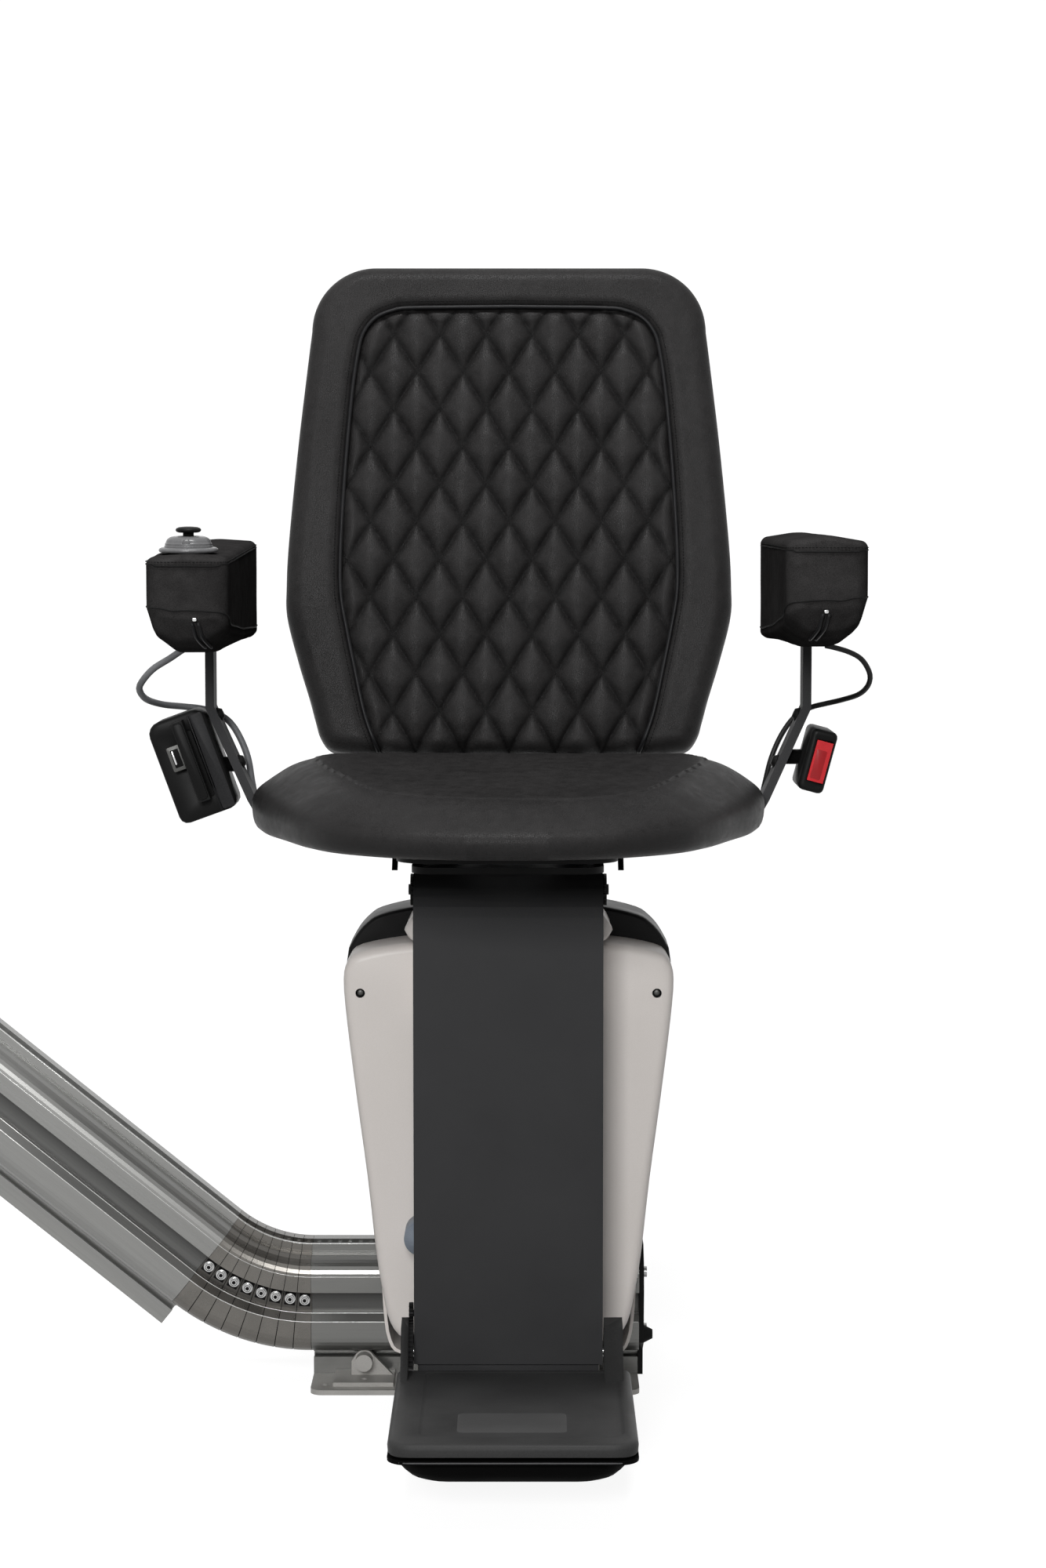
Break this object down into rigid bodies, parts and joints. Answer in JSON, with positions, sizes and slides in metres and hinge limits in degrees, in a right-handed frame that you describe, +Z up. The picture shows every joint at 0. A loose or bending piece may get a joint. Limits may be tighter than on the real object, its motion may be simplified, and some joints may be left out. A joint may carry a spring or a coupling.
{
  "type": "stairlift chair",
  "caption": "Chair that rides a curved stair rail: quilted backrest, folding seat, arms and footrest, swivel base, geared carriage and a bolted-down rail end.",
  "frame": {"origin": "centre of the rail's foot plate, on its underside", "axes": "+X to the sitter's left along the level rail, -Y the way the sitter faces, +Z up"},
  "size_m": [0.9502, 0.564, 1.1071],
  "materials": {
    "rail": "anodised silver-grey",
    "link": "anodised, slightly warmer",
    "steel": "zinc plated",
    "dark_steel": "black powder coat",
    "foot_steel": "light warm grey paint",
    "column": "fine dark grey powder coat",
    "rack": "oiled steel",
    "beige": "satin moulded plastic",
    "black_plastic": "matt moulded plastic",
    "grey_plastic": "matt moulded plastic",
    "cap": "beige body with a blue-grey end",
    "nylon": "natural nylon",
    "board": "circuit board",
    "leather": "charcoal upholstery, fine grain",
    "rubber": "matt rubber",
    "red": "red moulded plastic",
    "grey_cable": "grey cable sheath",
    "black_cable": "black cable sheath"
  },
  "bodies": {
    "rail": {"rail_level": "rail", "rail_incline": "rail", "curve_links": "link", "rail_screws": "steel", "drive_rack": "rack", "rail_end_plate": "dark_steel", "end_stop_bumper": "rubber", "foot_plate": "foot_steel", "foot_clamps": "foot_steel", "clamp_bolts": "foot_steel"},
    "carriage": {"chassis_plate": "dark_steel", "front_cover": "beige", "rear_cover": "beige", "top_cover": "black_plastic", "hub_cover": "beige", "drive_motor": "dark_steel", "gearbox": "steel", "batteries": "black_plastic", "control_board": "board", "service_cap": "cap", "guide_shoes": "nylon", "roller_axles": "steel", "column_frame": "dark_steel", "column_plate": "column", "seat_cheeks": "dark_steel", "swivel_post": "steel", "footrest_motor": "dark_steel", "footrest_hinge_pin": "steel"},
    "pinion": {"drive_pinion": "steel"},
    "load_roller_l": {"load_roller_left": "nylon"},
    "load_roller_r": {"load_roller_right": "nylon"},
    "guide_roller_l": {"guide_roller_left": "nylon"},
    "guide_roller_r": {"guide_roller_right": "nylon"},
    "seat_frame": {"seat_base": "dark_steel", "hinge_pins": "steel", "back_frame": "dark_steel", "back_shell": "black_plastic", "back_cushion": "leather", "arm_bar_left": "column", "arm_bar_right": "column", "arm_bar_bolts": "dark_steel", "belt_reel_case": "black_plastic", "belt_spool": "black_plastic", "belt_tongue": "black_plastic", "buckle_body": "black_plastic", "cable_left": "grey_cable", "cable_right": "black_cable"},
    "lever": {"swivel_lever": "dark_steel"},
    "button": {"buckle_button": "red"},
    "seat": {"seat_pan": "black_plastic", "seat_cushion": "leather"},
    "arm_left": {"arm_pad_left": "leather", "arm_core_left": "dark_steel", "joystick_base": "grey_plastic"},
    "arm_right": {"arm_pad_right": "leather", "arm_core_right": "dark_steel"},
    "stick": {"joystick": "black_plastic"},
    "footrest": {"footrest_tread": "grey_plastic"},
    "tray": {"footrest_tray": "black_plastic"},
    "foot_gear": {"footrest_pinion": "dark_steel"}
  },
  "joints": [
    {"name": "rail_travel", "type": "slide", "parent": "rail", "child": "carriage", "axis": [1, 0, 0], "range_m": [-0.11, 0]},
    {"name": "pinion_spin", "type": "hinge", "parent": "carriage", "child": "pinion", "pos_m": [0.034, 0.004, 0.15499], "axis": [0, 1, 0], "range_deg": [-318, 1]},
    {"name": "load_roller_l_spin", "type": "hinge", "parent": "carriage", "child": "load_roller_l", "pos_m": [-0.028, -0.022, 0.08505], "axis": [0, 1, 0], "range_deg": [-603, 1]},
    {"name": "guide_roller_l_spin", "type": "hinge", "parent": "carriage", "child": "guide_roller_l", "pos_m": [-0.028, 0.03905, 0.117], "axis": [0, 0, 1], "range_deg": [-1, 703]},
    {"name": "load_roller_r_spin", "type": "hinge", "parent": "carriage", "child": "load_roller_r", "pos_m": [0.096, -0.022, 0.08505], "axis": [0, 1, 0], "range_deg": [-603, 1]},
    {"name": "guide_roller_r_spin", "type": "hinge", "parent": "carriage", "child": "guide_roller_r", "pos_m": [0.096, 0.03905, 0.117], "axis": [0, 0, 1], "range_deg": [-1, 703]},
    {"name": "seat_swivel", "type": "hinge", "parent": "carriage", "child": "seat_frame", "pos_m": [0.034, -0.205, 0.56], "axis": [0, 0, 1], "range_deg": [-80, 80]},
    {"name": "lever_pull", "type": "hinge", "parent": "seat_frame", "child": "lever", "pos_m": [0.034, -0.3, 0.563], "axis": [-1, 0, 0], "range_deg": [0, 20], "stiffness_Nm_per_rad": 1, "springref_deg": -11.46},
    {"name": "button_press", "type": "slide", "parent": "seat_frame", "child": "button", "axis": [0, 1, 0], "range_m": [0, 0.005], "stiffness_N_per_m": 700, "springref_m": -0.002},
    {"name": "seat_fold", "type": "hinge", "parent": "seat_frame", "child": "seat", "pos_m": [0.034, -0.165, 0.585], "axis": [-1, 0, 0], "range_deg": [0, 75]},
    {"name": "arm_left_fold", "type": "hinge", "parent": "seat_frame", "child": "arm_left", "pos_m": [-0.243, -0.186, 0.802], "axis": [-1, 0, 0], "range_deg": [0, 90], "deforming": ["cable_left"]},
    {"name": "arm_right_fold", "type": "hinge", "parent": "seat_frame", "child": "arm_right", "pos_m": [0.311, -0.186, 0.802], "axis": [-1, 0, 0], "range_deg": [0, 90], "deforming": ["cable_right"]},
    {"name": "joystick_tilt", "type": "hinge", "parent": "arm_left", "child": "stick", "pos_m": [-0.241, -0.40124, 0.83588], "axis": [0, 0.9995, 0.0332], "range_deg": [-15, 15], "stiffness_Nm_per_rad": 0.3},
    {"name": "footrest_fold", "type": "hinge", "parent": "carriage", "child": "footrest", "pos_m": [0.034, -0.24, 0.092], "axis": [-1, 0, 0], "range_deg": [0, 90]},
    {"name": "foot_gear_spin", "type": "hinge", "parent": "carriage", "child": "foot_gear", "pos_m": [0.034, -0.24, 0.1281], "axis": [-1, 0, 0], "range_deg": [-271, 1]},
    {"name": "tray_lift", "type": "slide", "parent": "footrest", "child": "tray", "axis": [0, 0, 1], "range_m": [0, 0.0025]}
  ],
  "couplings": [
    {"joint": "pinion_spin", "follows": "rail_travel", "rad_per_m": 50.031},
    {"joint": "load_roller_l_spin", "follows": "rail_travel", "rad_per_m": 95.238},
    {"joint": "guide_roller_l_spin", "follows": "rail_travel", "rad_per_m": -111.11},
    {"joint": "load_roller_r_spin", "follows": "rail_travel", "rad_per_m": 95.238},
    {"joint": "guide_roller_r_spin", "follows": "rail_travel", "rad_per_m": -111.11},
    {"joint": "foot_gear_spin", "follows": "footrest_fold", "ratio": -3}
  ]
}
